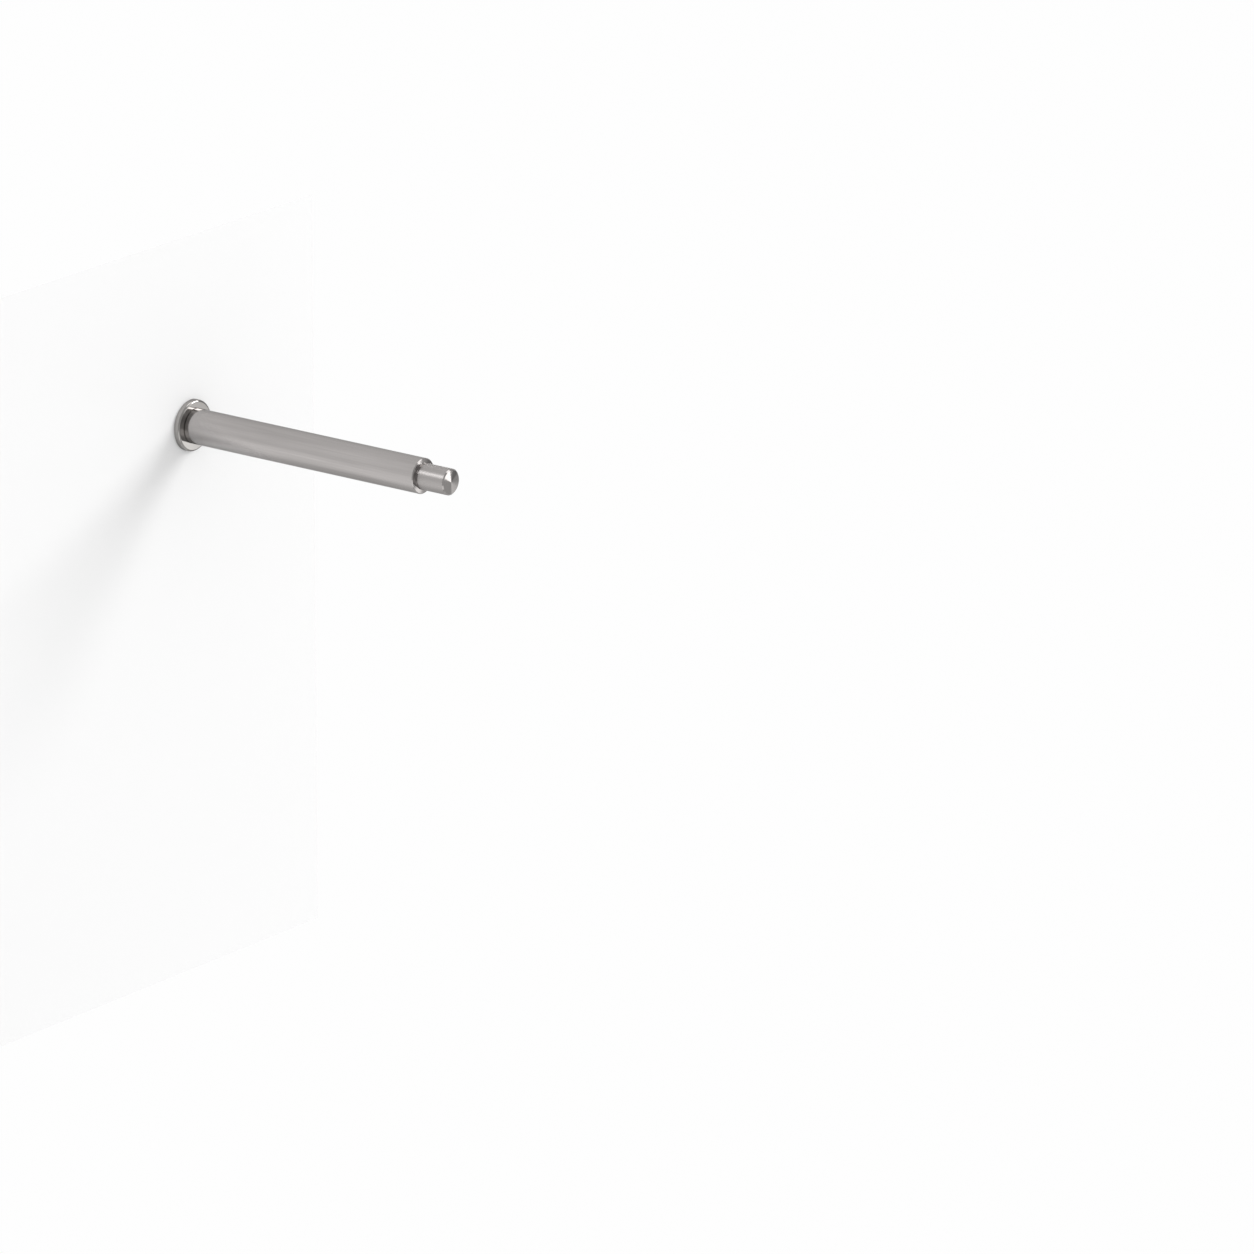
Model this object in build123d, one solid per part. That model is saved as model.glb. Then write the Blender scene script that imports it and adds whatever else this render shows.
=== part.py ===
from build123d import *
import math
import os

# A shelf support rod as it stands on the wall, in millimetres. The wall is the plane Y = 0, the
# rod points along -Y into the room, and +Z is up. The origin is the centre of the flange's back.

# Support rod, turned from one bar
rod_diameter = 12.0
rod_reach = 96.3            # bare length, from the flange's front face to the shoulder
pin_diameter = 8.9          # slides in a 9 mm hole
pin_length = 11.5
shoulder_chamfer = 0.3
pin_chamfer = 0.4
pin_root_radius = 0.1       # left in the shoulder's corner by the tool's nose
rod_foot_chamfer = 0.3      # leaves a fine dark groove where the rod meets the flange
spigot_diameter = 10.0      # short step on the foot that enters the flange
spigot_length = 0.5

# Wall flange, a polished disc that the rod clamps to the wall
flange_diameter = 17.5
flange_thickness = 2.2
flange_front_radius = 0.8   # the polished edge, rounded
flange_back_chamfer = 0.15
spigot_clearance = 0.05     # all round the spigot, in the recess that centres it
spigot_end_gap = 0.1        # so that the rod bears on the flange's face and not on the recess

# Hanger bolt: machine thread in the flange and the rod, shank and wood thread in the wall
bolt_diameter = 8.0
bolt_in_rod = 26.0
bolt_end_chamfer = 1.0
shank_diameter = 7.0
shank_in_wall = 4.0
wood_thread_depth = 1.2
wood_thread_pitch = 3.6
wood_thread_turns = 10
wood_thread_foot = 1.9      # width of the ridge where it leaves the core
wood_thread_crest = 0.24    # width of its blunt edge
wood_thread_sink = 0.15     # how far the ridge goes into the core
wood_point_length = 10.0
wood_point_diameter = 0.8
bare_point_length = 2.5     # the very tip, past the thread's end

# The tapped hole in the rod's foot
thread_clearance = 0.03     # all round the machine thread
hole_spare_depth = 3.0      # beyond the bolt's end
drill_point_angle = 118.0
hole_mouth_chamfer = 0.5

# The flange's hole for the bolt
bolt_hole_clearance = 0.2   # all round the bolt

# Stations along the rod, as Y values
foot_y = -flange_thickness
spigot_end_y = foot_y + spigot_length
shoulder_y = foot_y - rod_reach
tip_y = shoulder_y - pin_length
bolt_inner_y = spigot_end_y - bolt_in_rod
wood_thread_y = shank_in_wall
wood_thread_length = wood_thread_pitch * wood_thread_turns
wood_point_y = wood_thread_y + wood_thread_length
bolt_outer_y = wood_point_y + wood_point_length

wood_core_radius = bolt_diameter / 2 - wood_thread_depth


def turned(outline):
    """Solid of revolution about the Y axis from a closed outline of (radius, y) points."""
    return revolve(make_face(Polyline(*outline, close=True)), Axis.Y)


def circle_edges(piece, y):
    """A turned piece's round edges in the plane at y, the smallest first."""
    circles = piece.edges().filter_by(GeomType.CIRCLE)
    return circles.filter_by_position(Axis.Y, y, y).sort_by(SortBy.RADIUS)


def tapped_hole():
    """Blind hole on the rod's axis: a chamfered mouth, a straight wall and a drill point."""
    radius = bolt_diameter / 2 + thread_clearance
    mouth_radius = radius + hole_mouth_chamfer
    floor_y = bolt_inner_y - hole_spare_depth
    point_depth = radius / math.tan(math.radians(drill_point_angle / 2))
    return turned([
        (0, spigot_end_y),
        (mouth_radius, spigot_end_y),
        (radius, spigot_end_y - hole_mouth_chamfer),
        (radius, floor_y),
        (0, floor_y - point_depth),
    ])


def support_rod():
    """Bar with a stepped tip, and on its foot a short spigot round the mouth of the tapped hole."""
    rod_radius = rod_diameter / 2
    pin_radius = pin_diameter / 2
    spigot_radius = spigot_diameter / 2
    bar = turned([
        (0, spigot_end_y),
        (spigot_radius, spigot_end_y),
        (spigot_radius, foot_y),
        (rod_radius - rod_foot_chamfer, foot_y),
        (rod_radius, foot_y - rod_foot_chamfer),
        (rod_radius, shoulder_y + shoulder_chamfer),
        (rod_radius - shoulder_chamfer, shoulder_y),
        (pin_radius, shoulder_y),
        (pin_radius, tip_y + pin_chamfer),
        (pin_radius - pin_chamfer, tip_y),
        (0, tip_y),
    ])
    return fillet(circle_edges(bar, shoulder_y)[0], pin_root_radius) - tapped_hole()


def wall_flange():
    """Disc with a rounded front edge, a recess for the rod's spigot and a hole for the bolt."""
    flange_radius = flange_diameter / 2
    recess_radius = spigot_diameter / 2 + spigot_clearance
    recess_floor_y = spigot_end_y + spigot_end_gap
    hole_radius = bolt_diameter / 2 + bolt_hole_clearance
    disc = turned([
        (hole_radius, 0),
        (flange_radius - flange_back_chamfer, 0),
        (flange_radius, -flange_back_chamfer),
        (flange_radius, foot_y),
        (recess_radius, foot_y),
        (recess_radius, recess_floor_y),
        (hole_radius, recess_floor_y),
    ])
    return fillet(circle_edges(disc, foot_y)[-1], flange_front_radius)


def wood_thread_ridge(start_y, length, narrowing):
    """Pointed ridge swept along a helix on the core; narrowing is the core's half angle in degrees."""
    helix = Helix(
        wood_thread_pitch,
        length,
        wood_core_radius - wood_thread_sink,
        center=(0, start_y, 0),
        direction=(0, 1, 0),
        cone_angle=-narrowing,
    )
    start = helix @ 0
    outward = Vector(start.X, 0, start.Z)
    crest_height = wood_thread_sink + wood_thread_depth
    section = make_face(Polyline(
        (0, -wood_thread_foot / 2),
        (crest_height, -wood_thread_crest / 2),
        (crest_height, wood_thread_crest / 2),
        (0, wood_thread_foot / 2),
        close=True,
    ))
    return sweep(Plane(start, x_dir=outward, z_dir=helix % 0) * section, helix, is_frenet=True)


def hanger_bolt():
    """Headless bolt: the machine end in the rod, a thinner shank, the wood end and its point.

    The machine thread is plain here, at its outside diameter.
    """
    bolt_radius = bolt_diameter / 2
    shank_radius = shank_diameter / 2
    point_radius = wood_point_diameter / 2
    core = turned([
        (0, bolt_inner_y),
        (bolt_radius - bolt_end_chamfer, bolt_inner_y),
        (bolt_radius, bolt_inner_y + bolt_end_chamfer),
        (bolt_radius, 0),
        (shank_radius, 0),
        (shank_radius, wood_thread_y),
        (wood_core_radius, wood_thread_y + shank_radius - wood_core_radius),
        (wood_core_radius, wood_point_y),
        (point_radius, bolt_outer_y),
        (0, bolt_outer_y),
    ])
    narrowing = math.degrees(math.atan((wood_core_radius - point_radius) / wood_point_length))
    straight_ridge = wood_thread_ridge(wood_thread_y, wood_thread_length, 0)
    point_ridge = wood_thread_ridge(wood_point_y, wood_point_length - bare_point_length, narrowing)
    return core + straight_ridge + point_ridge


os.makedirs("parts", exist_ok=True)
for piece in (support_rod, wall_flange, hanger_bolt):
    export_step(piece(), f"parts/{piece.__name__}.step")
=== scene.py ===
import math

import bmesh
import bpy
import numpy as np
from bpy.props import FloatProperty, FloatVectorProperty, IntProperty, PointerProperty
from mathutils import Matrix, Vector


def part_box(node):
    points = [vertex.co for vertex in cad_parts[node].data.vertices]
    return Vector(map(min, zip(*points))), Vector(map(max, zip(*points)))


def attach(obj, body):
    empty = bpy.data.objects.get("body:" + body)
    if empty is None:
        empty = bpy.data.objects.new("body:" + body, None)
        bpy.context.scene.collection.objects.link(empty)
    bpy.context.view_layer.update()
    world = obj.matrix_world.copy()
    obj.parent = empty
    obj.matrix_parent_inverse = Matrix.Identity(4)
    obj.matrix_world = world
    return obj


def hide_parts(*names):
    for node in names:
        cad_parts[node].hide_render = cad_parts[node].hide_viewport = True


bl_info = {
    "name": "Shelf Support Rod",
    "version": (1, 0, 0),
    "blender": (4, 5, 0),
    "location": "3D View > Sidebar > Shelf Rod",
    "description": "A round steel shelf rod with a polished flange and a hanger bolt",
    "category": "Add Mesh",
}

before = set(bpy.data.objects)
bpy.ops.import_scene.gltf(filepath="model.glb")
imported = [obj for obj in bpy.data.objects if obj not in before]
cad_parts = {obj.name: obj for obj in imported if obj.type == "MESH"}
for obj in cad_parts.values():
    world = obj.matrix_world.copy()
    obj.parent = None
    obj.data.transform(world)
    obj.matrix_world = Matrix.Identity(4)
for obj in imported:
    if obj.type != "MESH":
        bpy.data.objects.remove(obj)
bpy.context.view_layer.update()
rod_low, rod_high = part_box("support_rod")
flange_low, flange_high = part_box("wall_flange")
bolt_low, bolt_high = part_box("hanger_bolt")

MM = 0.001
PHOTO_SIDE = 1254               # pixels, both ways
SENSOR_WIDTH = 36.0             # mm
SHARP_ANGLE = math.radians(32)  # faces that meet at more than this keep a crisp edge
MERGE_DISTANCE = 0.0005 * MM    # closes the poles, where a row of points has no radius
ROD_NAME = "support_rod_turned"
UV_NAME = "turned"              # u goes once round a piece, and v is metres along its outline

# Places of the rod's finishes in its list of materials
DRAWN = 0
TURNED = 1
FACED_TIP = 2
FACED_SHOULDER = 3

MACHINE_ROWS = 12               # rows of points to each turn of the machine thread
MACHINE_FOOT = 0.8              # width of that thread's ridge at its root, as a share of the pitch
MACHINE_CREST = 0.15            # and of its flat crest
RUN_OUT_TURNS = 1.5             # over which it fades into the bolt's plain neck
WOOD_ROWS = 20                  # rows of points to each turn of the wood thread

FACE_ROWS = 8                   # rows of points across the flange's polished face
EDGE_START = -84                # degrees on the flange's rounded edge; the face's last row stands at -90
EDGE_ROWS = 15                  # rows of points from there to 0 degrees, 6 degrees apart

PATTERN_RANGE = (0.3, 0.7)      # nearly all of a noise pattern lies between these
NOISE_ROUGHNESS = 0.6

WHITE = (1.0, 1.0, 1.0, 1.0)
EVEN_SKY = 0.99                 # brightness of the sky, but for its images in the steel

# The room that the steel mirrors: brightness before and behind the wall's plane, and round places in it,
# each a direction, the angle in degrees of its even core and of its outer edge, and its brightness
ROOM_TINT = (1.0, 0.99, 0.98, 1.0)
ROOM_AHEAD = 0.60
ROOM_BEHIND = 0.98
ROOM_CHANGE = (0.05, 0.25)      # the Y parts of a direction between which one gives way to the other
GLOWS = (
    ((0.73, -0.59, -0.33), 7, 14, 1.20),     # pale room on the right, which the flange's face mirrors
    ((0.66, -0.64, -0.41), 6, 10, 1.85),     # lit floor, in the lower half of that face
    ((0.92, -0.39, 0.00), 7, 16, 0.30),      # dark doorway on the right
    ((0.85, -0.15, -0.50), 6, 16, 1.20),     # pale floor on the right: the tip's lower right wedge
    ((0.60, -0.79, 0.07), 6, 9.5, 2.8),      # window's right half: the white wedge on the tip
    ((0.47, -0.88, -0.01), 6, 9.5, 2.8),     # window's left half
    ((0.73, -0.58, 0.37), 9, 13, 11.0),      # softbox: the white line over the rod's image in the flange
    ((0.35, -0.30, 0.88), 12, 22, 2.2),      # lamp overhead: the hook on the flange's rounded edge
    ((-0.44, -0.80, 0.40), 10, 25, 0.42),    # dark corner on the left
    ((-0.56, -0.58, -0.59), 14, 26, 1.30),   # pale floor on the left: the low side of the rod's image
    ((0.12, -0.33, -0.94), 12, 30, 0.80),    # floor below
    ((-0.68, 0.58, -0.44), 8, 34, 1.20),     # light streak low on the rod
    ((0.10, 0.58, 0.80), 12, 32, 0.94),      # darker band along the top
    ((0.16, 0.58, -0.80), 8, 26, 0.86),      # dark underside
)


def linear(code):
    """Linear RGB of an sRGB hex colour.

    A channel c becomes c / 12.92 where it is dark, and else ((c + 0.055) / 1.055) to the power 2.4.
    """
    channels = np.array([int(code[i:i + 2], 16) for i in (1, 3, 5)]) / 255
    bright = ((channels + 0.055) / 1.055) ** 2.4
    return tuple(float(c) for c in np.where(channels <= 0.04045, channels / 12.92, bright))


class RodSettings(bpy.types.PropertyGroup):
    """Sizes and colour of the turned rod."""
    radius: FloatProperty(
        name="Bar radius", description="Outside radius of the bar",
        default=rod_high.x, unit="LENGTH", subtype="DISTANCE", precision=5)
    pin_radius: FloatProperty(
        name="Pin radius", description="Radius of the thinner tip",
        default=4.45 * MM, unit="LENGTH", subtype="DISTANCE", precision=5)
    pin_length: FloatProperty(
        name="Pin length", description="From the shoulder to the end of the tip",
        default=11.5 * MM, unit="LENGTH", subtype="DISTANCE", precision=5)
    pin_chamfer: FloatProperty(
        name="Pin chamfer", description="Bevel round the end of the tip",
        default=0.4 * MM, unit="LENGTH", subtype="DISTANCE", precision=5)
    bright_length: FloatProperty(
        name="Bright corner", description="Stretch of the pin cut as bright as the shoulder beside it",
        default=0.9 * MM, unit="LENGTH", subtype="DISTANCE", precision=5)
    shoulder_chamfer: FloatProperty(
        name="Shoulder chamfer", description="Bevel round the shoulder",
        default=0.3 * MM, unit="LENGTH", subtype="DISTANCE", precision=5)
    foot_chamfer: FloatProperty(
        name="Foot chamfer", description="Bevel where the bar stands on the flange",
        default=0.3 * MM, unit="LENGTH", subtype="DISTANCE", precision=5)
    spigot_radius: FloatProperty(
        name="Spigot radius", description="Step on the foot that enters the flange",
        default=5.0 * MM, unit="LENGTH", subtype="DISTANCE", precision=5)
    tip_lean: FloatProperty(
        name="Tip's lean", description="How far the fine rings on the tip's end face lean outwards",
        default=math.radians(17), unit="ROTATION", subtype="ANGLE")
    shoulder_lean: FloatProperty(
        name="Shoulder's lean", description="How far the fine rings on the shoulder lean outwards",
        default=math.radians(11), unit="ROTATION", subtype="ANGLE")
    hole_spare_depth: FloatProperty(
        name="Spare depth", description="Tapped hole beyond the end of the bolt",
        default=3.0 * MM, unit="LENGTH", subtype="DISTANCE", precision=5)
    hole_mouth_chamfer: FloatProperty(
        name="Hole mouth chamfer", description="Bevel at the mouth of the tapped hole",
        default=0.5 * MM, unit="LENGTH", subtype="DISTANCE", precision=5)
    drill_point_angle: FloatProperty(
        name="Drill point", description="Full angle of the cone at the bottom of the hole",
        default=math.radians(118), unit="ROTATION", subtype="ANGLE")
    segments: IntProperty(
        name="Segments", description="Faces round the rod", default=192, min=24, subtype="UNSIGNED")
    colour: FloatVectorProperty(
        name="Steel colour", description="Reflected colour of the bar and its pin",
        default=linear("#AAA7A6"), subtype="COLOR", size=3, min=0, max=1)


class FlangeSettings(bpy.types.PropertyGroup):
    """Sizes and colour of the polished wall flange."""
    radius: FloatProperty(
        name="Flange radius", description="Outside radius of the disc",
        default=flange_high.x, unit="LENGTH", subtype="DISTANCE", precision=5)
    front_radius: FloatProperty(
        name="Edge radius", description="Curve of the polished front edge",
        default=0.8 * MM, unit="LENGTH", subtype="DISTANCE", precision=5)
    back_chamfer: FloatProperty(
        name="Back chamfer", description="Bevel of the edge against the wall",
        default=0.15 * MM, unit="LENGTH", subtype="DISTANCE", precision=5)
    face_fall: FloatProperty(
        name="Face fall", description="How far the polished face falls away from the rod to its rounded edge",
        default=0.05 * MM, unit="LENGTH", subtype="DISTANCE", precision=5)
    spigot_clearance: FloatProperty(
        name="Recess clearance", description="Gap all round the rod's spigot",
        default=0.05 * MM, unit="LENGTH", subtype="DISTANCE", precision=5)
    spigot_end_gap: FloatProperty(
        name="Recess end gap", description="Gap past the end of the rod's spigot",
        default=0.1 * MM, unit="LENGTH", subtype="DISTANCE", precision=5)
    bolt_clearance: FloatProperty(
        name="Bolt clearance", description="Gap all round the bolt",
        default=0.2 * MM, unit="LENGTH", subtype="DISTANCE", precision=5)
    segments: IntProperty(
        name="Segments", description="Faces round the flange", default=256, min=24, subtype="UNSIGNED")
    colour: FloatVectorProperty(
        name="Polished steel colour", description="Reflected colour of the polished flange",
        default=linear("#A4A2A0"), subtype="COLOR", size=3, min=0, max=1)


class BoltSettings(bpy.types.PropertyGroup):
    """Sizes and colour of the hanger bolt and its two threads."""
    radius: FloatProperty(
        name="Bolt radius", description="Over the crests of both threads",
        default=bolt_high.x, unit="LENGTH", subtype="DISTANCE", precision=5)
    end_chamfer: FloatProperty(
        name="End chamfer", description="Bevel on the machine end",
        default=1.0 * MM, unit="LENGTH", subtype="DISTANCE", precision=5)
    machine_pitch: FloatProperty(
        name="Machine thread pitch", description="From one crest to the next",
        default=1.25 * MM, unit="LENGTH", subtype="DISTANCE", precision=5)
    machine_depth: FloatProperty(
        name="Machine thread depth", description="From crest to root",
        default=0.68 * MM, unit="LENGTH", subtype="DISTANCE", precision=5)
    thread_clearance: FloatProperty(
        name="Thread clearance", description="Gap between the bolt's thread and the rod's",
        default=0.03 * MM, unit="LENGTH", subtype="DISTANCE", precision=5)
    shank_radius: FloatProperty(
        name="Shank radius", description="Plain neck between the threads",
        default=3.5 * MM, unit="LENGTH", subtype="DISTANCE", precision=5)
    shank_length: FloatProperty(
        name="Shank length", description="Plain neck beyond the wall's face",
        default=4.0 * MM, unit="LENGTH", subtype="DISTANCE", precision=5)
    wood_pitch: FloatProperty(
        name="Wood thread pitch", description="From one crest to the next",
        default=3.6 * MM, unit="LENGTH", subtype="DISTANCE", precision=5)
    wood_depth: FloatProperty(
        name="Wood thread depth", description="From crest to core",
        default=1.2 * MM, unit="LENGTH", subtype="DISTANCE", precision=5)
    wood_foot: FloatProperty(
        name="Wood thread foot", description="Width of the ridge on the core",
        default=1.65 * MM, unit="LENGTH", subtype="DISTANCE", precision=5)
    wood_crest: FloatProperty(
        name="Wood thread crest", description="Width of the ridge's blunt edge",
        default=0.24 * MM, unit="LENGTH", subtype="DISTANCE", precision=5)
    point_length: FloatProperty(
        name="Point length", description="Tapered end of the wood thread",
        default=10.0 * MM, unit="LENGTH", subtype="DISTANCE", precision=5)
    point_radius: FloatProperty(
        name="Point radius", description="Blunt end of the point",
        default=0.4 * MM, unit="LENGTH", subtype="DISTANCE", precision=5)
    bare_point_length: FloatProperty(
        name="Bare point", description="End of the point past the thread",
        default=2.5 * MM, unit="LENGTH", subtype="DISTANCE", precision=5)
    segments: IntProperty(
        name="Segments", description="Faces round the bolt", default=96, min=24, subtype="UNSIGNED")
    colour: FloatVectorProperty(
        name="Zinc colour", description="Reflected colour of the zinc plate",
        default=linear("#BFC2C6"), subtype="COLOR", size=3, min=0, max=1)


class StageSettings(bpy.types.PropertyGroup):
    """Camera, lights, wall and floor."""
    camera_azimuth: FloatProperty(
        name="Azimuth", description="Camera's turn about the vertical, from straight in front",
        default=math.radians(-52.6), unit="ROTATION", subtype="ANGLE")
    camera_elevation: FloatProperty(
        name="Elevation", description="Camera's angle above the horizon",
        default=math.radians(17.3), unit="ROTATION", subtype="ANGLE")
    camera_distance: FloatProperty(
        name="Distance", description="From the camera to the flange, along the view",
        default=3.98, unit="LENGTH", subtype="DISTANCE")
    focal_length: FloatProperty(
        name="Focal length", description="Long, because the photograph's perspective is nearly flat",
        default=344.5, unit="CAMERA")
    flange_pixel: FloatVectorProperty(
        name="Flange in the picture", description="Pixel where the centre of the flange's back lies",
        default=(190.6, 424.7), size=2, subtype="COORDINATES")
    key_direction: FloatVectorProperty(
        name="Key light's direction", description="From the rod's foot to the softbox",
        default=(0.617, -0.647, 0.448), size=3, subtype="DIRECTION")
    key_distance: FloatProperty(
        name="Key light's distance", description="Far off, so that the wall is lit evenly",
        default=5.0, unit="LENGTH", subtype="DISTANCE")
    key_side: FloatProperty(
        name="Key light's side", description="Side of the square softbox, which softens the rod's shadow",
        default=2.0, unit="LENGTH", subtype="DISTANCE")
    key_power: FloatProperty(
        name="Key light", description="Power of the softbox",
        default=114.0, unit="POWER")
    strip_direction: FloatVectorProperty(
        name="Strip light's direction", description="From the rod's foot to the light of the pin's line",
        default=(-0.69, -0.08, 0.71), size=3, subtype="DIRECTION")
    strip_distance: FloatProperty(
        name="Strip light's distance", description="From the rod's foot",
        default=1.5, unit="LENGTH", subtype="DISTANCE")
    strip_side: FloatProperty(
        name="Strip light's side", description="Side of its square, which widens the pin's line",
        default=0.56, unit="LENGTH", subtype="DISTANCE")
    strip_power: FloatProperty(
        name="Strip light", description="Power of the light that draws the pin's line",
        default=11.0, unit="POWER")
    wall_corner: FloatVectorProperty(
        name="Wall corner", description="Lower left corner of the patch of wall, across and up",
        default=(-0.17, -0.19), size=2, unit="LENGTH")
    wall_size: FloatVectorProperty(
        name="Wall size", description="Width and height of the patch of wall",
        default=(0.235, 0.255), size=2, unit="LENGTH")
    wall_colour: FloatVectorProperty(
        name="Wall paint", description="Matt white paint",
        default=linear("#E5E5E5"), subtype="COLOR", size=3, min=0, max=1)
    wall_in_steel: FloatVectorProperty(
        name="Wall in the steel", description="Middle of the round part of the wall that the steel mirrors",
        default=(0, 0, -20 * MM), unit="LENGTH", subtype="TRANSLATION", size=3)
    wall_mirrored: FloatProperty(
        name="Whole up to", description="Distance from that middle up to which the wall is mirrored alone",
        default=12 * MM, unit="LENGTH", subtype="DISTANCE")
    wall_lost: FloatProperty(
        name="Lost from", description="Distance from that middle beyond which the room is mirrored instead",
        default=45 * MM, unit="LENGTH", subtype="DISTANCE")
    floor_depth: FloatProperty(
        name="Floor depth", description="From the rod's axis down to the floor",
        default=1.2, unit="LENGTH", subtype="DISTANCE")
    floor_side: FloatProperty(
        name="Floor side", description="Side of the square floor, which ends at the wall",
        default=14.0, unit="LENGTH", subtype="DISTANCE")
    floor_colour: FloatVectorProperty(
        name="Floor", description="Plain pale floor",
        default=linear("#E4E4E4"), subtype="COLOR", size=3, min=0, max=1)


def arc(centre, radius, start, end, rows):
    """Rows of (radius from the axis, y) on a circle: centre + radius (cos a, sin a).

    The angle a goes from start to end, in degrees, in equal steps.
    """
    angles = np.radians(np.linspace(start, end, rows))
    return np.stack([centre[0] + radius * np.cos(angles), centre[1] + radius * np.sin(angles)], axis=1)


def coned_face(inner, outer, y, fall, rows):
    """Rows of (radius, y) across a face that falls evenly.

    From the inner radius to the outer one, y grows by fall.
    """
    return np.stack([np.linspace(inner, outer, rows), np.linspace(y, y + fall, rows)], axis=1)


def helical_ridge(y, turn, pitch, foot, crest):
    """Height from 0 to 1 of a right-hand helical ridge at y and at a share of a turn.

    The way from the ridge's middle line is the part of a turn that y / pitch + turn is off a whole
    number, times the pitch. The height is 1 over the crest, and falls evenly to 0 at the foot.
    """
    turns = y / pitch + turn
    way = np.abs(turns - np.round(turns)) * pitch
    return np.clip((foot / 2 - way) / (foot / 2 - crest / 2), 0, 1)


def smooth_step(low, high, value):
    """0 below low, 1 above high, and 3 t squared - 2 t cubed between them, t being the share of the way."""
    t = np.clip((value - low) / (high - low), 0, 1)
    return t * t * (3 - 2 * t)


def turned_piece(name, stretches, segments, materials, ring=False):
    """Mesh of a surface carried round the Y axis.

    A stretch is (radii, y, material number): rows of radii, one for all angles or one for each angle,
    at heights y. The point of a row at angle a is (r cos a, y, r sin a). Each row is joined to the
    next, and in a ring the last one to the first. Rows of no radius are merged into a pole. The faces
    between two rows have the first one's material.
    """
    radii = np.concatenate([np.broadcast_to(r, (len(y), segments)) for r, y, _ in stretches])
    heights = np.concatenate([y for _, y, _ in stretches])
    finish = np.concatenate([np.full(len(y), number) for _, y, number in stretches])
    rows = len(heights)
    angles = np.arange(segments) * (2 * np.pi / segments)
    y = np.broadcast_to(heights[:, None], radii.shape)
    points = np.stack([radii * np.cos(angles), y, radii * np.sin(angles)], axis=-1).reshape(-1, 3)

    joined_rows = np.arange(rows if ring else rows - 1)
    row, column = np.meshgrid(joined_rows, np.arange(segments), indexing="ij")
    next_row = (row + 1) % rows
    next_column = (column + 1) % segments
    corners = np.stack([
        row * segments + column,
        next_row * segments + column,
        next_row * segments + next_column,
        row * segments + next_column,
    ], axis=-1).reshape(-1, 4)
    mesh = bpy.data.meshes.new(name)
    mesh.from_pydata(points.tolist(), [], corners.tolist())

    along = np.linalg.norm(np.diff(np.stack([radii[:, 0], heights], axis=1), axis=0), axis=1)
    v = np.concatenate([[0], np.cumsum(along), [np.sum(along)]])
    u = column / segments
    next_u = (column + 1) / segments
    uv = np.stack([
        np.stack([u, v[row]], axis=-1),
        np.stack([u, v[row + 1]], axis=-1),
        np.stack([next_u, v[row + 1]], axis=-1),
        np.stack([next_u, v[row]], axis=-1),
    ], axis=-2)
    mesh.uv_layers.new(name=UV_NAME).uv.foreach_set("vector", uv.astype(np.float32).ravel())
    mesh.polygons.foreach_set("material_index", finish[row].ravel().astype(np.int32))
    for material in materials:
        mesh.materials.append(material)

    form = bmesh.new()
    form.from_mesh(mesh)
    bmesh.ops.remove_doubles(form, verts=form.verts, dist=MERGE_DISTANCE)
    form.to_mesh(mesh)
    form.free()
    mesh.shade_smooth()
    mesh.set_sharp_from_angle(angle=SHARP_ANGLE)
    piece = bpy.data.objects.new(name, mesh)
    bpy.context.scene.collection.objects.link(piece)
    return piece


def plain_rows(points, number=0):
    """A stretch of turned_piece from (radius, y) points, in the first material unless another is named."""
    points = np.array(points)
    return points[:, :1], points[:, 1], number


def machine_thread_radius(y, turn, bolt):
    """Radius of the machine thread: its root plus its depth times a helical ridge with flat crests."""
    pitch = bolt.machine_pitch
    ridge = helical_ridge(y, turn, pitch, foot=MACHINE_FOOT * pitch, crest=MACHINE_CREST * pitch)
    return bolt.radius - bolt.machine_depth + bolt.machine_depth * ridge


def add_node(tree, kind, settings=None, inputs=None):
    """Adds a node, sets its properties, and gives each named or numbered input a value or a link."""
    node = tree.nodes.new(kind)
    for name, value in (settings or {}).items():
        setattr(node, name, value)
    for name, value in (inputs or {}).items():
        if isinstance(value, bpy.types.NodeSocket):
            tree.links.new(value, node.inputs[name])
        else:
            node.inputs[name].default_value = value
    return node


def new_material(name):
    """An empty node material, and its tree."""
    material = bpy.data.materials.new(name)
    material.use_nodes = True
    material.node_tree.nodes.clear()
    return material, material.node_tree


def stretched_noise(tree, across, along, detail):
    """Noise on Object coordinates with grains of one size across the rod and another along it."""
    place = add_node(tree, "ShaderNodeTexCoord")
    scaled = add_node(tree, "ShaderNodeMapping", None, {
        "Vector": place.outputs["Object"], "Scale": (1 / across, 1 / along, 1 / across)})
    return add_node(tree, "ShaderNodeTexNoise", None, {
        "Vector": scaled.outputs["Vector"], "Scale": 1.0, "Detail": detail, "Roughness": NOISE_ROUGHNESS})


def spread_values(tree, pattern, low, high):
    """A number from low to high, in step with a pattern's usual range."""
    node = add_node(tree, "ShaderNodeMapRange", None, {
        "Value": pattern,
        "From Min": PATTERN_RANGE[0], "From Max": PATTERN_RANGE[1],
        "To Min": low, "To Max": high})
    return node.outputs["Result"]


def tinted(tree, colour, pattern, low, high):
    """A colour made darker or lighter by a pattern: colour times a number from low to high."""
    scaled = add_node(tree, "ShaderNodeVectorMath", {"operation": "SCALE"}, {
        0: colour, "Scale": spread_values(tree, pattern, low, high)})
    return scaled.outputs["Vector"]


# The grey Specular Tint of the bare steels keeps them from turning white where they are seen at a slant


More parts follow.
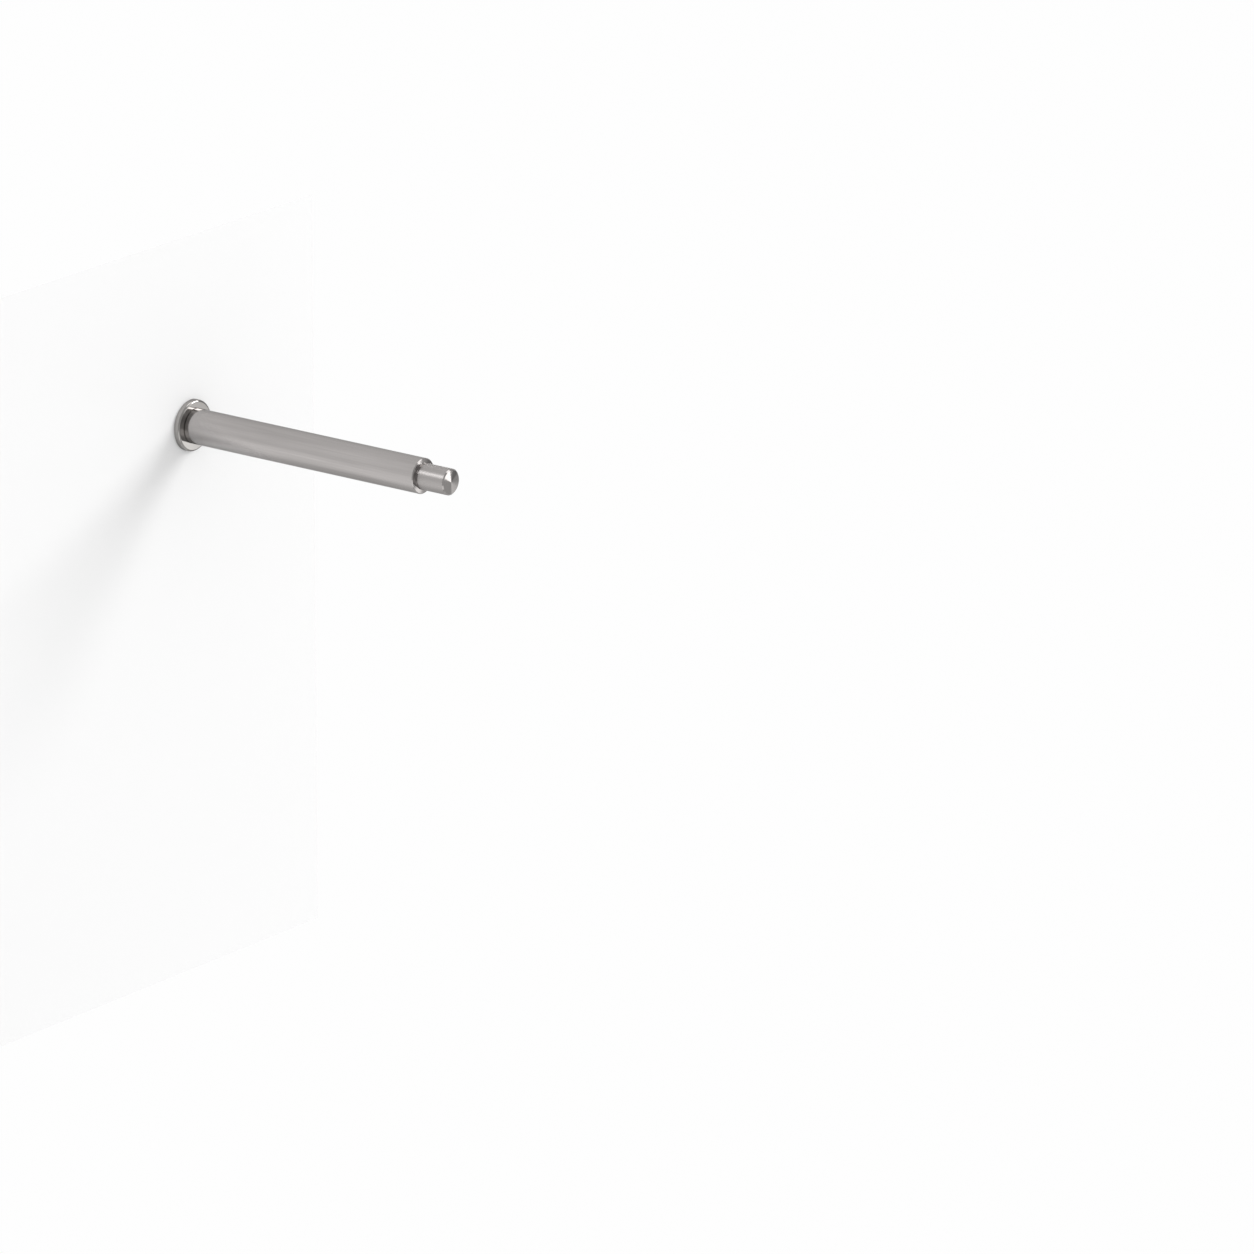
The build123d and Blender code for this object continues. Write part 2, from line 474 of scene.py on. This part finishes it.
def drawn_steel(colour):
    """Stainless steel bar, drawn and polished lengthwise.

    The eye sees an even satin grey with fine straight streaks from end to end, and a reflection that
    is blurred across the bar more than along it. The real scratches are about 0.02 mm wide, too
    fine to show, and are drawn 0.35 mm wide. Faint clouds, ten times as wide, vary the grey.
    """
    material, tree = new_material("stainless_steel_drawn_satin")
    streaks = stretched_noise(tree, across=0.35 * MM, along=45 * MM, detail=3).outputs["Fac"]
    clouds = stretched_noise(tree, across=3.5 * MM, along=45 * MM, detail=2).outputs["Fac"]
    streaked = tinted(tree, colour, streaks, low=0.96, high=1.04)
    tangent = add_node(tree, "ShaderNodeTangent", {"direction_type": "UV_MAP", "uv_map": UV_NAME})
    grain = add_node(tree, "ShaderNodeBump", None, {
        "Strength": 1.0, "Distance": 0.002 * MM, "Height": streaks})
    steel = add_node(tree, "ShaderNodeBsdfPrincipled", None, {
        "Base Color": tinted(tree, streaked, clouds, low=0.93, high=1.07),
        "Metallic": 1.0,
        "Roughness": spread_values(tree, clouds, low=0.15, high=0.18),
        "Anisotropic": 0.4,
        "Specular Tint": (0.55, 0.55, 0.55, 1.0),
        "Normal": grain.outputs["Normal"],
        "Tangent": tangent.outputs["Tangent"]})
    add_node(tree, "ShaderNodeOutputMaterial", None, {"Surface": steel.outputs["BSDF"]})
    return material


def turned_steel(colour):
    """Stainless steel, turned on a lathe.

    The tool leaves rings round the pin, and a light is drawn out across them, into a soft straight
    line along the pin. The real feed is about 0.08 mm a turn, too fine to show, and is drawn 0.3 mm a
    turn.
    """
    material, tree = new_material("stainless_steel_turned_bright")
    feed = 0.3 * MM
    place = add_node(tree, "ShaderNodeUVMap", {"uv_map": UV_NAME})
    way = add_node(tree, "ShaderNodeSeparateXYZ", None, {"Vector": place.outputs["UV"]})
    rings = add_node(tree, "ShaderNodeTexNoise", {"noise_dimensions": "1D"}, {
        "W": way.outputs["Y"],
        "Scale": 1 / feed, "Detail": 2.0, "Roughness": NOISE_ROUGHNESS}).outputs["Fac"]
    tangent = add_node(tree, "ShaderNodeTangent", {"direction_type": "UV_MAP", "uv_map": UV_NAME})
    grooves = add_node(tree, "ShaderNodeBump", None, {
        "Strength": 1.0, "Distance": 0.004 * MM, "Height": rings})
    steel = add_node(tree, "ShaderNodeBsdfPrincipled", None, {
        "Base Color": tinted(tree, colour, rings, low=0.94, high=1.06),
        "Metallic": 1.0,
        "Roughness": spread_values(tree, rings, low=0.30, high=0.36),
        "Anisotropic": 0.85,
        "Anisotropic Rotation": 0.25,
        "Specular Tint": (0.6, 0.6, 0.6, 1.0),
        "Normal": grooves.outputs["Normal"],
        "Tangent": tangent.outputs["Tangent"]})
    add_node(tree, "ShaderNodeOutputMaterial", None, {"Surface": steel.outputs["BSDF"]})
    return material


def faced_steel(name, colour, lean):
    """Stainless steel, faced on a lathe.

    The shoulder, the corner beside it and the tip's end face are bright cuts. The tool leaves rings
    about 0.08 mm apart, whose flanks lean outwards and break a mirrored room into light and dark
    wedges. They are too fine to show singly, so the bump falls evenly with the distance from the
    axis, at the rings' own slope. A faint haze, about 0.9 mm wide, varies the grey.
    """
    material, tree = new_material(name)
    haze = stretched_noise(tree, across=0.9 * MM, along=0.9 * MM, detail=3).outputs["Fac"]
    place = add_node(tree, "ShaderNodeTexCoord")
    across = add_node(tree, "ShaderNodeVectorMath", {"operation": "MULTIPLY"}, {
        0: place.outputs["Object"], 1: (1.0, 0.0, 1.0)})
    radius = add_node(tree, "ShaderNodeVectorMath", {"operation": "LENGTH"}, {0: across.outputs["Vector"]})
    fall = add_node(tree, "ShaderNodeMath", {"operation": "MULTIPLY"}, {
        0: radius.outputs["Value"], 1: -math.tan(lean)})
    rings = add_node(tree, "ShaderNodeBump", None, {
        "Strength": 1.0, "Distance": 1.0, "Height": fall.outputs["Value"]})
    steel = add_node(tree, "ShaderNodeBsdfPrincipled", None, {
        "Base Color": tinted(tree, colour, haze, low=0.96, high=1.04),
        "Metallic": 1.0,
        "Roughness": spread_values(tree, haze, low=0.10, high=0.14),
        "Specular Tint": (0.6, 0.6, 0.6, 1.0),
        "Normal": rings.outputs["Normal"]})
    add_node(tree, "ShaderNodeOutputMaterial", None, {"Surface": steel.outputs["BSDF"]})
    return material


def polished_steel(colour):
    """Stainless steel, buffed nearly to a mirror.

    The rod's own image shows in it, dark and sharp. Buffing leaves a slight haze, and ripples about
    1 mm wide that bend an image a little.
    """
    material, tree = new_material("stainless_steel_mirror_polished")
    haze = stretched_noise(tree, across=2.2 * MM, along=2.2 * MM, detail=3).outputs["Fac"]
    ripples = stretched_noise(tree, across=1.1 * MM, along=1.1 * MM, detail=1).outputs["Fac"]
    waves = add_node(tree, "ShaderNodeBump", None, {
        "Strength": 1.0, "Distance": 0.003 * MM, "Height": ripples})
    steel = add_node(tree, "ShaderNodeBsdfPrincipled", None, {
        "Base Color": tinted(tree, colour, haze, low=0.98, high=1.02),
        "Metallic": 1.0,
        "Roughness": spread_values(tree, haze, low=0.05, high=0.09),
        "Specular Tint": (0.5, 0.5, 0.5, 1.0),
        "Normal": waves.outputs["Normal"]})
    add_node(tree, "ShaderNodeOutputMaterial", None, {"Surface": steel.outputs["BSDF"]})
    return material


def zinc_plate(colour):
    """Carbon steel with a rolled thread and bright zinc plate.

    The eye sees a cool silver with faint clouds about 1.6 mm wide, and a finely pitted skin that dulls
    what it mirrors.
    """
    material, tree = new_material("carbon_steel_bright_zinc")
    clouds = stretched_noise(tree, across=1.6 * MM, along=1.6 * MM, detail=4).outputs["Fac"]
    pits = stretched_noise(tree, across=0.25 * MM, along=0.25 * MM, detail=2).outputs["Fac"]
    dents = add_node(tree, "ShaderNodeBump", None, {
        "Strength": 1.0, "Distance": 0.004 * MM, "Height": pits})
    steel = add_node(tree, "ShaderNodeBsdfPrincipled", None, {
        "Base Color": tinted(tree, colour, clouds, low=0.88, high=1.06),
        "Metallic": 1.0,
        "Roughness": spread_values(tree, clouds, low=0.30, high=0.42),
        "Normal": dents.outputs["Normal"]})
    add_node(tree, "ShaderNodeOutputMaterial", None, {"Surface": steel.outputs["BSDF"]})
    return material


def matt_paint(name, colour):
    """Matt emulsion with the faint stipple of a roller, about 0.8 mm across.

    Returns the material, its tree and the shader, which the caller joins to an output.
    """
    material, tree = new_material(name)
    stipple = stretched_noise(tree, across=0.8 * MM, along=0.8 * MM, detail=2).outputs["Fac"]
    relief = add_node(tree, "ShaderNodeBump", None, {
        "Strength": 0.2, "Distance": 0.02 * MM, "Height": stipple})
    paint = add_node(tree, "ShaderNodeBsdfPrincipled", None, {
        "Base Color": (*colour, 1.0),
        "Roughness": 0.95,
        "Specular IOR Level": 0.0,
        "Normal": relief.outputs["Normal"]})
    return material, tree, paint


def wall_paint(colour, middle, mirrored, lost):
    """Matt white wall paint on the room's side; the far side is clear, so that the bolt shows from behind.

    In a mirror it is whole up to one distance from its middle below the rod's foot, and gives way
    smoothly to the sky behind it up to another, so that the small wall has no edge in the steel.
    """
    material, tree, paint = matt_paint("matt_wall_paint", colour)
    side = add_node(tree, "ShaderNodeNewGeometry")
    place = add_node(tree, "ShaderNodeTexCoord")
    distance = add_node(tree, "ShaderNodeVectorMath", {"operation": "DISTANCE"}, {
        0: place.outputs["Object"], 1: middle})
    given_way = add_node(tree, "ShaderNodeMapRange", {"interpolation_type": "SMOOTHSTEP"}, {
        "Value": distance.outputs["Value"], "From Min": mirrored, "From Max": lost})
    ray = add_node(tree, "ShaderNodeLightPath")
    in_mirror = add_node(tree, "ShaderNodeMath", {"operation": "MULTIPLY"}, {
        0: given_way.outputs["Result"], 1: ray.outputs["Is Glossy Ray"]})
    clearness = add_node(tree, "ShaderNodeMath", {"operation": "MAXIMUM"}, {
        0: in_mirror.outputs["Value"], 1: side.outputs["Backfacing"]})
    clear = add_node(tree, "ShaderNodeBsdfTransparent")
    wall = add_node(tree, "ShaderNodeMixShader", None, {
        "Fac": clearness.outputs["Value"], 1: paint.outputs["BSDF"], 2: clear.outputs["BSDF"]})
    add_node(tree, "ShaderNodeOutputMaterial", None, {"Surface": wall.outputs["Shader"]})
    return material


def floor_paint(colour):
    """Plain pale floor, matt."""
    material, tree, paint = matt_paint("matt_floor_paint", colour)
    add_node(tree, "ShaderNodeOutputMaterial", None, {"Surface": paint.outputs["BSDF"]})
    return material


def rectangle(name, corner, width, depth, material):
    """A flat stage piece: corner + s width + t depth, s and t from 0 to 1."""
    corner, width, depth = Vector(corner), Vector(width), Vector(depth)
    mesh = bpy.data.meshes.new(name)
    mesh.from_pydata([corner, corner + width, corner + width + depth, corner + depth], [], [(0, 1, 2, 3)])
    mesh.materials.append(material)
    piece = bpy.data.objects.new(name, mesh)
    bpy.context.scene.collection.objects.link(piece)
    return piece


class SHELFROD_OT_support_rod(bpy.types.Operator):
    """Turn the support rod: the bar, its pin, and the tapped hole in its foot."""
    bl_idname = "shelfrod.support_rod"
    bl_label = "Support Rod"

    def execute(self, context):
        rod = context.scene.shelfrod_rod
        bolt = context.scene.shelfrod_bolt
        tip_y, end_y = rod_low.y, rod_high.y
        foot_y = flange_low.y
        shoulder_y = tip_y + rod.pin_length
        outside = [
            plain_rows([(0, tip_y), (rod.pin_radius - rod.pin_chamfer, tip_y)], FACED_TIP),
            plain_rows([(rod.pin_radius, tip_y + rod.pin_chamfer)], TURNED),
            plain_rows([
                (rod.pin_radius, shoulder_y - rod.bright_length),
                (rod.pin_radius, shoulder_y),
                (rod.radius - rod.shoulder_chamfer, shoulder_y),
            ], FACED_SHOULDER),
            plain_rows([
                (rod.radius, shoulder_y + rod.shoulder_chamfer),
                (rod.radius, foot_y - rod.foot_chamfer),
                (rod.radius - rod.foot_chamfer, foot_y),
                (rod.spigot_radius, foot_y),
                (rod.spigot_radius, end_y),
            ], DRAWN),
        ]
        floor_y = bolt_low.y - rod.hole_spare_depth
        rows = math.ceil((end_y - floor_y) / bolt.machine_pitch * MACHINE_ROWS)
        y = np.linspace(end_y, floor_y, rows)[:, None]
        turn = np.arange(rod.segments)[None, :] / rod.segments
        thread = machine_thread_radius(y, turn, bolt) + bolt.thread_clearance
        mouth = bolt.radius + bolt.thread_clearance + rod.hole_mouth_chamfer - (end_y - y)
        hole = np.maximum(thread, mouth)
        floor_radius = hole[-1].max()
        point_depth = floor_radius / math.tan(rod.drill_point_angle / 2)
        inside = [
            (hole, y[:, 0], TURNED),
            plain_rows([(floor_radius, floor_y), (0, floor_y - point_depth)], TURNED),
        ]
        materials = [
            drawn_steel(rod.colour),
            turned_steel(rod.colour),
            faced_steel("stainless_steel_faced_tip", rod.colour, rod.tip_lean),
            faced_steel("stainless_steel_faced_shoulder", rod.colour, rod.shoulder_lean),
        ]
        piece = turned_piece(ROD_NAME, outside + inside, rod.segments, materials)
        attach(piece, "root")
        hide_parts("support_rod")
        return {"FINISHED"}


class SHELFROD_OT_wall_flange(bpy.types.Operator):
    """Turn and polish the flange that the rod clamps to the wall."""
    bl_idname = "shelfrod.wall_flange"
    bl_label = "Wall Flange"

    def execute(self, context):
        flange = context.scene.shelfrod_flange
        rod = context.scene.shelfrod_rod
        front_y, back_y = flange_low.y, flange_high.y
        recess_radius = rod.spigot_radius + flange.spigot_clearance
        recess_y = rod_high.y + flange.spigot_end_gap
        hole_radius = bolt_high.x + flange.bolt_clearance
        edge_centre = (flange.radius - flange.front_radius, front_y + flange.face_fall + flange.front_radius)
        outline = [
            plain_rows([(recess_radius, front_y)]),
            plain_rows(coned_face(rod.radius, edge_centre[0], front_y, flange.face_fall, FACE_ROWS)),
            plain_rows(arc(edge_centre, flange.front_radius, EDGE_START, 0, EDGE_ROWS)),
            plain_rows([
                (flange.radius, back_y - flange.back_chamfer),
                (flange.radius - flange.back_chamfer, back_y),
                (hole_radius, back_y),
                (hole_radius, recess_y),
                (recess_radius, recess_y),
            ]),
        ]
        materials = [polished_steel(flange.colour)]
        piece = turned_piece("wall_flange_polished", outline, flange.segments, materials, ring=True)
        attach(piece, "root")
        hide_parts("wall_flange")
        return {"FINISHED"}


class SHELFROD_OT_hanger_bolt(bpy.types.Operator):
    """Roll the two threads of the hanger bolt."""
    bl_idname = "shelfrod.hanger_bolt"
    bl_label = "Hanger Bolt"

    def execute(self, context):
        bolt = context.scene.shelfrod_bolt
        inner_y, outer_y = bolt_low.y, bolt_high.y
        turn = np.arange(bolt.segments)[None, :] / bolt.segments

        rows = math.ceil(-inner_y / bolt.machine_pitch * MACHINE_ROWS)
        y = np.linspace(inner_y, 0, rows)[:, None]
        bevel = bolt.radius - bolt.end_chamfer + (y - inner_y)
        thread = np.minimum(machine_thread_radius(y, turn, bolt), bevel)
        run_out = smooth_step(-RUN_OUT_TURNS * bolt.machine_pitch, 0, y)
        machine_end = thread * (1 - run_out) + bolt.shank_radius * run_out

        core_radius = bolt.radius - bolt.wood_depth
        point_y = outer_y - bolt.point_length
        taper = (core_radius - bolt.point_radius) / bolt.point_length
        rows = math.ceil((outer_y - bolt.shank_length) / bolt.wood_pitch * WOOD_ROWS)
        wood_y = np.linspace(bolt.shank_length, outer_y, rows)[:, None]
        neck = bolt.shank_radius - (wood_y - bolt.shank_length)
        core = np.maximum(neck, core_radius - taper * np.maximum(wood_y - point_y, 0))
        start = smooth_step(bolt.shank_length, bolt.shank_length + bolt.wood_pitch / 2, wood_y)
        thread_end = outer_y - bolt.bare_point_length
        end = 1 - smooth_step(thread_end - bolt.wood_pitch / 2, thread_end, wood_y)
        ridge = helical_ridge(wood_y, turn, bolt.wood_pitch, bolt.wood_foot, bolt.wood_crest)
        wood_end = np.minimum(core + bolt.wood_depth * ridge * start * end, bolt.radius)

        stretches = [
            plain_rows([(0, inner_y)]),
            (machine_end, y[:, 0], 0),
            (wood_end, wood_y[:, 0], 0),
            plain_rows([(0, outer_y)]),
        ]
        piece = turned_piece("hanger_bolt_threaded", stretches, bolt.segments, [zinc_plate(bolt.colour)])
        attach(piece, "root")
        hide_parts("hanger_bolt")
        return {"FINISHED"}


def softbox(name, towards, distance, side, power):
    """A square area light that faces the rod's foot from a direction."""
    direction = Vector(towards).normalized()
    light = bpy.data.lights.new(name, "AREA")
    light.size = side
    light.energy = power
    lamp = bpy.data.objects.new(name, light)
    lamp.location = direction * distance
    lamp.rotation_euler = direction.to_track_quat("Z", "Y").to_euler()
    bpy.context.scene.collection.objects.link(lamp)
    return lamp


def light_alone(lamp, piece):
    """Lets a lamp light one piece and nothing else."""
    receivers = bpy.data.collections.new(piece.name + "_light")
    receivers.objects.link(piece)
    lamp.light_linking.receiver_collection = receivers


def glow(tree, direction, below, towards, core, spread, brightness):
    """Blends the brightness below into another one inside a round patch of the sky.

    The share is 1 within core degrees of the patch's centre, falls smoothly, and is 0 at spread degrees.
    """
    cosine = add_node(tree, "ShaderNodeVectorMath", {"operation": "DOT_PRODUCT"}, {
        0: direction, 1: Vector(towards).normalized()})
    share = add_node(tree, "ShaderNodeMapRange", {"interpolation_type": "SMOOTHSTEP"}, {
        "Value": cosine.outputs["Value"],
        "From Min": math.cos(math.radians(spread)), "From Max": math.cos(math.radians(core))})
    blend = add_node(tree, "ShaderNodeMix", {"data_type": "FLOAT"}, {
        "Factor": share.outputs["Result"], "A": below, "B": brightness})
    return blend.outputs["Result"]


def studio_world():
    """Sky of a plain studio.

    The steel mirrors a mid grey room in front and a pale one behind, each with a few lighter and darker
    places. Everything else sees an even pale white.
    """
    world = bpy.data.worlds.new("studio")
    world.use_nodes = True
    tree = world.node_tree
    tree.nodes.clear()
    direction = add_node(tree, "ShaderNodeTexCoord").outputs["Generated"]
    depth = add_node(tree, "ShaderNodeSeparateXYZ", None, {"Vector": direction}).outputs["Y"]
    seen = add_node(tree, "ShaderNodeMapRange", None, {
        "Value": depth, "From Min": ROOM_CHANGE[0], "From Max": ROOM_CHANGE[1],
        "To Min": ROOM_AHEAD, "To Max": ROOM_BEHIND}).outputs["Result"]
    for towards, core, spread, brightness in GLOWS:
        seen = glow(tree, direction, seen, towards, core, spread, brightness)
    mirrored = add_node(tree, "ShaderNodeBackground", None, {"Color": ROOM_TINT, "Strength": seen})
    even = add_node(tree, "ShaderNodeBackground", None, {"Color": WHITE, "Strength": EVEN_SKY})
    ray = add_node(tree, "ShaderNodeLightPath")
    chosen = add_node(tree, "ShaderNodeMixShader", None, {
        "Fac": ray.outputs["Is Glossy Ray"],
        1: even.outputs["Background"],
        2: mirrored.outputs["Background"]})
    add_node(tree, "ShaderNodeOutputWorld", None, {"Surface": chosen.outputs["Shader"]})
    bpy.context.scene.world = world


def photo_camera(stage):
    """Camera whose picture shows the flange at its pixel in the photograph.

    With back pointing from the rod to the camera and right and up across the picture, the place is
    distance times back, less the flange's offset from the picture's middle times right and up.
    """
    azimuth = stage.camera_azimuth
    elevation = stage.camera_elevation
    back = Vector((
        math.sin(azimuth) * math.cos(elevation),
        -math.cos(azimuth) * math.cos(elevation),
        math.sin(elevation),
    ))
    right = Vector((math.cos(azimuth), math.sin(azimuth), 0))
    up = back.cross(right)
    pixel = SENSOR_WIDTH / PHOTO_SIDE / stage.focal_length * stage.camera_distance
    across = (stage.flange_pixel[0] - PHOTO_SIDE / 2) * pixel
    above = (PHOTO_SIDE / 2 - stage.flange_pixel[1]) * pixel
    data = bpy.data.cameras.new("photo_camera")
    data.sensor_width = SENSOR_WIDTH
    data.lens = stage.focal_length
    camera = bpy.data.objects.new("photo_camera", data)
    turn = Matrix((right, up, back)).transposed().to_4x4()
    place = back * stage.camera_distance - right * across - up * above
    camera.matrix_world = Matrix.Translation(place) @ turn
    bpy.context.scene.collection.objects.link(camera)
    bpy.context.scene.camera = camera


class SHELFROD_OT_stage(bpy.types.Operator):
    """Set up the wall, the floor, the lights and the camera."""
    bl_idname = "shelfrod.stage"
    bl_label = "Stage"

    def execute(self, context):
        stage = context.scene.shelfrod_stage
        left, low = stage.wall_corner
        width, height = stage.wall_size
        rectangle(
            "wall_patch", corner=(left, 0, low), width=(width, 0, 0), depth=(0, 0, height),
            material=wall_paint(stage.wall_colour, stage.wall_in_steel, stage.wall_mirrored, stage.wall_lost))
        side = stage.floor_side
        floor_corner = (-side / 2, -side, -stage.floor_depth)
        floor = rectangle(
            "pale_floor", corner=floor_corner, width=(side, 0, 0), depth=(0, side, 0),
            material=floor_paint(stage.floor_colour))
        floor.visible_glossy = False
        key = softbox("key_softbox", stage.key_direction, stage.key_distance, stage.key_side, stage.key_power)
        key.visible_glossy = False
        strip = softbox(
            "strip_softbox", stage.strip_direction, stage.strip_distance, stage.strip_side, stage.strip_power)
        light_alone(strip, bpy.data.objects[ROD_NAME])
        studio_world()
        photo_camera(stage)
        context.scene.view_settings.view_transform = "Standard"
        return {"FINISHED"}


class SHELFROD_PT_sidebar(bpy.types.Panel):
    """Buttons for the rod's pieces and its stage."""
    bl_idname = "SHELFROD_PT_sidebar"
    bl_label = "Shelf Support Rod"
    bl_space_type = "VIEW_3D"
    bl_region_type = "UI"
    bl_category = "Shelf Rod"

    def draw(self, context):
        layout = self.layout
        for step in STEPS:
            layout.operator(step.bl_idname)
        for name, group in GROUPS.items():
            box = layout.box()
            box.label(text=group.__doc__)
            for setting in group.__annotations__:
                box.prop(getattr(context.scene, name), setting)


STEPS = (
    SHELFROD_OT_support_rod,
    SHELFROD_OT_wall_flange,
    SHELFROD_OT_hanger_bolt,
    SHELFROD_OT_stage,
)
GROUPS = {
    "shelfrod_rod": RodSettings,
    "shelfrod_flange": FlangeSettings,
    "shelfrod_bolt": BoltSettings,
    "shelfrod_stage": StageSettings,
}
CLASSES = (*GROUPS.values(), *STEPS, SHELFROD_PT_sidebar)


def register():
    """Make the classes known to Blender, and hang the settings on the scene."""
    for each in CLASSES:
        bpy.utils.register_class(each)
    for name, group in GROUPS.items():
        setattr(bpy.types.Scene, name, PointerProperty(type=group))


def unregister():
    """Take the settings off the scene and remove the classes."""
    for name in GROUPS:
        delattr(bpy.types.Scene, name)
    for each in reversed(CLASSES):
        bpy.utils.unregister_class(each)


def main():
    register()
    bpy.ops.shelfrod.support_rod()
    bpy.ops.shelfrod.wall_flange()
    bpy.ops.shelfrod.hanger_bolt()
    bpy.ops.shelfrod.stage()


if __name__ == "__main__":
    main()
